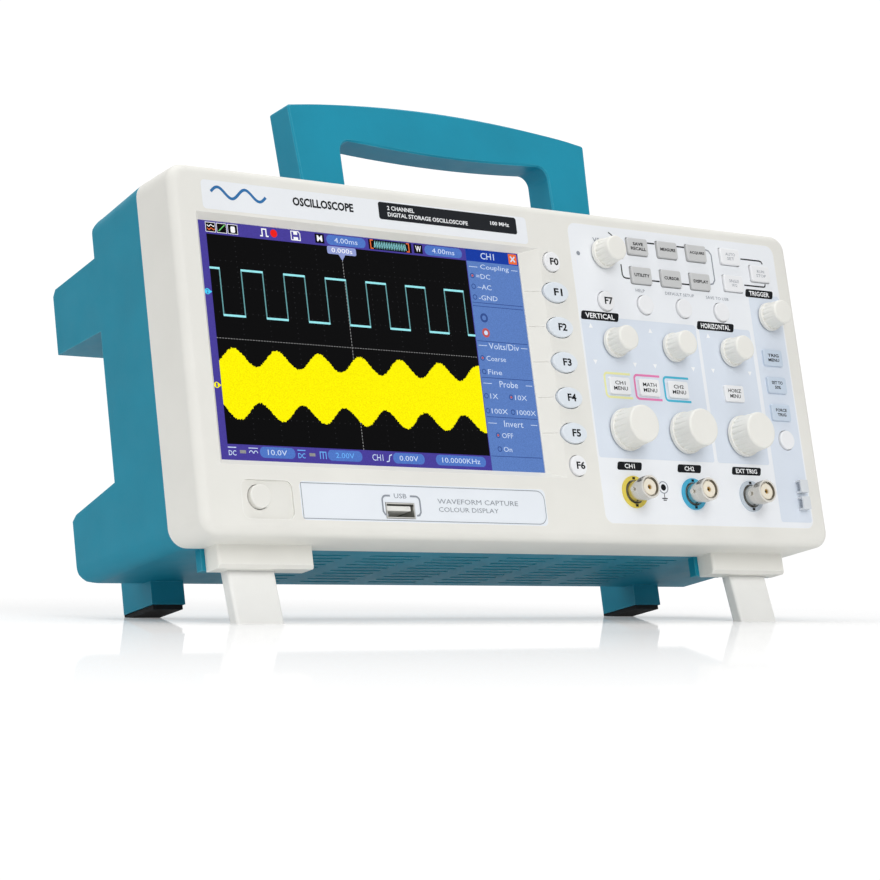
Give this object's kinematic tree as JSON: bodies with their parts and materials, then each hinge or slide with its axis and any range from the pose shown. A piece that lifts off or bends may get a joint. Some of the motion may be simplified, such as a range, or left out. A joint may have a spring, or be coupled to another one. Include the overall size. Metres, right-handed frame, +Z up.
{
  "type": "digital oscilloscope",
  "caption": "Benchtop digital oscilloscope with a colour screen, keys, turning knobs, front jacks, a folding carry handle and folding tilt legs.",
  "frame": {"origin": "middle of the overall box, on the floor under the tilt legs and rear pads", "axes": "+Z up; the screen and controls face -Y and lean back; +X is to the right for someone facing the screen"},
  "size_m": [0.313, 0.1192, 0.2079],
  "materials": {
    "bezel_white": "fine matte moulded warm white",
    "housing_teal": "fine matte moulded teal",
    "overlay_film": "satin printed film, cool white with pale blue fields",
    "label_plates": "satin printed plates",
    "ring_print": "coloured rings, yellow, cyan and grey",
    "screen": "satin display glass over a metal frame",
    "silicone": "silicone sheet",
    "circuit_board": "green circuit board with parts",
    "encoder_metal": "stamped steel and moulding",
    "nickel": "bright nickel plating with a white insulator",
    "socket_metal": "stamped steel",
    "tab_metal": "tinned spring metal",
    "inlet_black": "black moulding with plated blades",
    "can_metal": "tin-plated sheet",
    "fan_black": "black moulding",
    "screw_steel": "zinc-plated steel",
    "pad_rubber": "black rubber",
    "handle_teal": "fine matte moulded teal",
    "leg_white": "fine matte moulded warm white",
    "key_white": "satin white",
    "key_grey": "satin light grey",
    "key_blue": "satin pale blue",
    "knob_ivory": "satin off-white"
  },
  "bodies": {
    "case": {"front_bezel": "bezel_white", "rear_housing": "housing_teal", "control_overlay": "overlay_film", "front_labels": "label_plates", "bnc_rings": "ring_print", "display_panel": "screen", "key_mat": "silicone", "keypad_board": "circuit_board", "rotary_encoders": "encoder_metal", "bnc_connectors": "nickel", "usb_ports": "socket_metal", "probe_terminals": "tab_metal", "power_inlet": "inlet_black", "main_board": "circuit_board", "shield_cans": "can_metal", "power_supply_board": "circuit_board", "fan_frame": "fan_black", "case_screws": "screw_steel", "rubber_pads": "pad_rubber"},
    "power_button": {"power_button": "bezel_white"},
    "f0_key": {"f0_key": "key_white"},
    "f1_key": {"f1_key": "key_white"},
    "f2_key": {"f2_key": "key_white"},
    "f3_key": {"f3_key": "key_white"},
    "f4_key": {"f4_key": "key_white"},
    "f5_key": {"f5_key": "key_white"},
    "f6_key": {"f6_key": "key_white"},
    "f7_key": {"f7_key": "key_white"},
    "help_key": {"help_key": "key_white"},
    "default_setup_key": {"default_setup_key": "key_white"},
    "save_to_usb_key": {"save_to_usb_key": "key_white"},
    "save_recall_key": {"save_recall_key": "key_grey"},
    "measure_key": {"measure_key": "key_grey"},
    "acquire_key": {"acquire_key": "key_grey"},
    "utility_key": {"utility_key": "key_grey"},
    "cursor_key": {"cursor_key": "key_grey"},
    "display_key": {"display_key": "key_grey"},
    "autoset_key": {"autoset_key": "key_white"},
    "single_seq_key": {"single_seq_key": "key_white"},
    "run_stop_key": {"run_stop_key": "key_white"},
    "ch1_menu_key": {"ch1_menu_key": "key_white"},
    "math_menu_key": {"math_menu_key": "key_white"},
    "ch2_menu_key": {"ch2_menu_key": "key_white"},
    "horiz_menu_key": {"horiz_menu_key": "key_white"},
    "trig_menu_key": {"trig_menu_key": "key_blue"},
    "set_to_half_key": {"set_to_half_key": "key_blue"},
    "force_trig_key": {"force_trig_key": "key_blue"},
    "probe_check_key": {"probe_check_key": "key_white"},
    "multi_knob": {"multi_knob": "knob_ivory"},
    "ch1_position_knob": {"ch1_position_knob": "knob_ivory"},
    "ch1_scale_knob": {"ch1_scale_knob": "knob_ivory"},
    "ch2_position_knob": {"ch2_position_knob": "knob_ivory"},
    "ch2_scale_knob": {"ch2_scale_knob": "knob_ivory"},
    "time_position_knob": {"time_position_knob": "knob_ivory"},
    "time_scale_knob": {"time_scale_knob": "knob_ivory"},
    "trigger_level_knob": {"trigger_level_knob": "knob_ivory"},
    "fan_rotor": {"fan_rotor": "fan_black"},
    "carry_handle": {"carry_handle": "handle_teal"},
    "left_leg": {"left_leg": "leg_white"},
    "right_leg": {"right_leg": "leg_white"}
  },
  "joints": [
    {"name": "power_button_press", "type": "slide", "parent": "case", "child": "power_button", "axis": [0, 0.9769, -0.2135], "range_m": [0, 0.001], "stiffness_N_per_m": 600},
    {"name": "f0_key_press", "type": "slide", "parent": "case", "child": "f0_key", "axis": [0, 0.9769, -0.2135], "range_m": [0, 0.001], "stiffness_N_per_m": 600},
    {"name": "f1_key_press", "type": "slide", "parent": "case", "child": "f1_key", "axis": [0, 0.9769, -0.2135], "range_m": [0, 0.001], "stiffness_N_per_m": 600},
    {"name": "f2_key_press", "type": "slide", "parent": "case", "child": "f2_key", "axis": [0, 0.9769, -0.2135], "range_m": [0, 0.001], "stiffness_N_per_m": 600},
    {"name": "f3_key_press", "type": "slide", "parent": "case", "child": "f3_key", "axis": [0, 0.9769, -0.2135], "range_m": [0, 0.001], "stiffness_N_per_m": 600},
    {"name": "f4_key_press", "type": "slide", "parent": "case", "child": "f4_key", "axis": [0, 0.9769, -0.2135], "range_m": [0, 0.001], "stiffness_N_per_m": 600},
    {"name": "f5_key_press", "type": "slide", "parent": "case", "child": "f5_key", "axis": [0, 0.9769, -0.2135], "range_m": [0, 0.001], "stiffness_N_per_m": 600},
    {"name": "f6_key_press", "type": "slide", "parent": "case", "child": "f6_key", "axis": [0, 0.9769, -0.2135], "range_m": [0, 0.001], "stiffness_N_per_m": 600},
    {"name": "f7_key_press", "type": "slide", "parent": "case", "child": "f7_key", "axis": [0, 0.9769, -0.2135], "range_m": [0, 0.001], "stiffness_N_per_m": 600},
    {"name": "help_key_press", "type": "slide", "parent": "case", "child": "help_key", "axis": [0, 0.9769, -0.2135], "range_m": [0, 0.001], "stiffness_N_per_m": 600},
    {"name": "default_setup_key_press", "type": "slide", "parent": "case", "child": "default_setup_key", "axis": [0, 0.9769, -0.2135], "range_m": [0, 0.001], "stiffness_N_per_m": 600},
    {"name": "save_to_usb_key_press", "type": "slide", "parent": "case", "child": "save_to_usb_key", "axis": [0, 0.9769, -0.2135], "range_m": [0, 0.001], "stiffness_N_per_m": 600},
    {"name": "save_recall_key_press", "type": "slide", "parent": "case", "child": "save_recall_key", "axis": [0, 0.9769, -0.2135], "range_m": [0, 0.001], "stiffness_N_per_m": 600},
    {"name": "measure_key_press", "type": "slide", "parent": "case", "child": "measure_key", "axis": [0, 0.9769, -0.2135], "range_m": [0, 0.001], "stiffness_N_per_m": 600},
    {"name": "acquire_key_press", "type": "slide", "parent": "case", "child": "acquire_key", "axis": [0, 0.9769, -0.2135], "range_m": [0, 0.001], "stiffness_N_per_m": 600},
    {"name": "utility_key_press", "type": "slide", "parent": "case", "child": "utility_key", "axis": [0, 0.9769, -0.2135], "range_m": [0, 0.001], "stiffness_N_per_m": 600},
    {"name": "cursor_key_press", "type": "slide", "parent": "case", "child": "cursor_key", "axis": [0, 0.9769, -0.2135], "range_m": [0, 0.001], "stiffness_N_per_m": 600},
    {"name": "display_key_press", "type": "slide", "parent": "case", "child": "display_key", "axis": [0, 0.9769, -0.2135], "range_m": [0, 0.001], "stiffness_N_per_m": 600},
    {"name": "autoset_key_press", "type": "slide", "parent": "case", "child": "autoset_key", "axis": [0, 0.9769, -0.2135], "range_m": [0, 0.001], "stiffness_N_per_m": 600},
    {"name": "single_seq_key_press", "type": "slide", "parent": "case", "child": "single_seq_key", "axis": [0, 0.9769, -0.2135], "range_m": [0, 0.001], "stiffness_N_per_m": 600},
    {"name": "run_stop_key_press", "type": "slide", "parent": "case", "child": "run_stop_key", "axis": [0, 0.9769, -0.2135], "range_m": [0, 0.001], "stiffness_N_per_m": 600},
    {"name": "ch1_menu_key_press", "type": "slide", "parent": "case", "child": "ch1_menu_key", "axis": [0, 0.9769, -0.2135], "range_m": [0, 0.001], "stiffness_N_per_m": 600},
    {"name": "math_menu_key_press", "type": "slide", "parent": "case", "child": "math_menu_key", "axis": [0, 0.9769, -0.2135], "range_m": [0, 0.001], "stiffness_N_per_m": 600},
    {"name": "ch2_menu_key_press", "type": "slide", "parent": "case", "child": "ch2_menu_key", "axis": [0, 0.9769, -0.2135], "range_m": [0, 0.001], "stiffness_N_per_m": 600},
    {"name": "horiz_menu_key_press", "type": "slide", "parent": "case", "child": "horiz_menu_key", "axis": [0, 0.9769, -0.2135], "range_m": [0, 0.001], "stiffness_N_per_m": 600},
    {"name": "trig_menu_key_press", "type": "slide", "parent": "case", "child": "trig_menu_key", "axis": [0, 0.9769, -0.2135], "range_m": [0, 0.001], "stiffness_N_per_m": 600},
    {"name": "set_to_half_key_press", "type": "slide", "parent": "case", "child": "set_to_half_key", "axis": [0, 0.9769, -0.2135], "range_m": [0, 0.001], "stiffness_N_per_m": 600},
    {"name": "force_trig_key_press", "type": "slide", "parent": "case", "child": "force_trig_key", "axis": [0, 0.9769, -0.2135], "range_m": [0, 0.001], "stiffness_N_per_m": 600},
    {"name": "probe_check_key_press", "type": "slide", "parent": "case", "child": "probe_check_key", "axis": [0, 0.9769, -0.2135], "range_m": [0, 0.001], "stiffness_N_per_m": 600},
    {"name": "multi_knob_turn", "type": "hinge", "parent": "case", "child": "multi_knob", "pos_m": [0.0484, -0.02752, 0.14982], "axis": [0, 0.9769, -0.2135], "continuous": true},
    {"name": "ch1_position_knob_turn", "type": "hinge", "parent": "case", "child": "ch1_position_knob", "pos_m": [0.0483, -0.03562, 0.1128], "axis": [0, 0.9769, -0.2135], "continuous": true},
    {"name": "ch1_scale_knob_turn", "type": "hinge", "parent": "case", "child": "ch1_scale_knob", "pos_m": [0.0483, -0.04339, 0.07724], "axis": [0, 0.9769, -0.2135], "continuous": true},
    {"name": "ch2_position_knob_turn", "type": "hinge", "parent": "case", "child": "ch2_position_knob", "pos_m": [0.0806, -0.03562, 0.1128], "axis": [0, 0.9769, -0.2135], "continuous": true},
    {"name": "ch2_scale_knob_turn", "type": "hinge", "parent": "case", "child": "ch2_scale_knob", "pos_m": [0.0806, -0.04339, 0.07724], "axis": [0, 0.9769, -0.2135], "continuous": true},
    {"name": "time_position_knob_turn", "type": "hinge", "parent": "case", "child": "time_position_knob", "pos_m": [0.1132, -0.03562, 0.1128], "axis": [0, 0.9769, -0.2135], "continuous": true},
    {"name": "time_scale_knob_turn", "type": "hinge", "parent": "case", "child": "time_scale_knob", "pos_m": [0.1132, -0.04339, 0.07724], "axis": [0, 0.9769, -0.2135], "continuous": true},
    {"name": "trigger_level_knob_turn", "type": "hinge", "parent": "case", "child": "trigger_level_knob", "pos_m": [0.139, -0.0319, 0.1298], "axis": [0, 0.9769, -0.2135], "continuous": true},
    {"name": "fan_spin", "type": "hinge", "parent": "case", "child": "fan_rotor", "pos_m": [0.0685, 0.04023, 0.08517], "axis": [0, 0.9769, -0.2135], "continuous": true},
    {"name": "handle_fold", "type": "hinge", "parent": "case", "child": "carry_handle", "pos_m": [0, 0.01212, 0.14761], "axis": [-1, 0, 0], "range_deg": [0, 90]},
    {"name": "left_leg_fold", "type": "hinge", "parent": "case", "child": "left_leg", "pos_m": [-0.1249, -0.03119, 0.02206], "axis": [1, 0, 0], "range_deg": [0, 98]},
    {"name": "right_leg_fold", "type": "hinge", "parent": "case", "child": "right_leg", "pos_m": [0.1249, -0.03119, 0.02206], "axis": [1, 0, 0], "range_deg": [0, 98]}
  ]
}
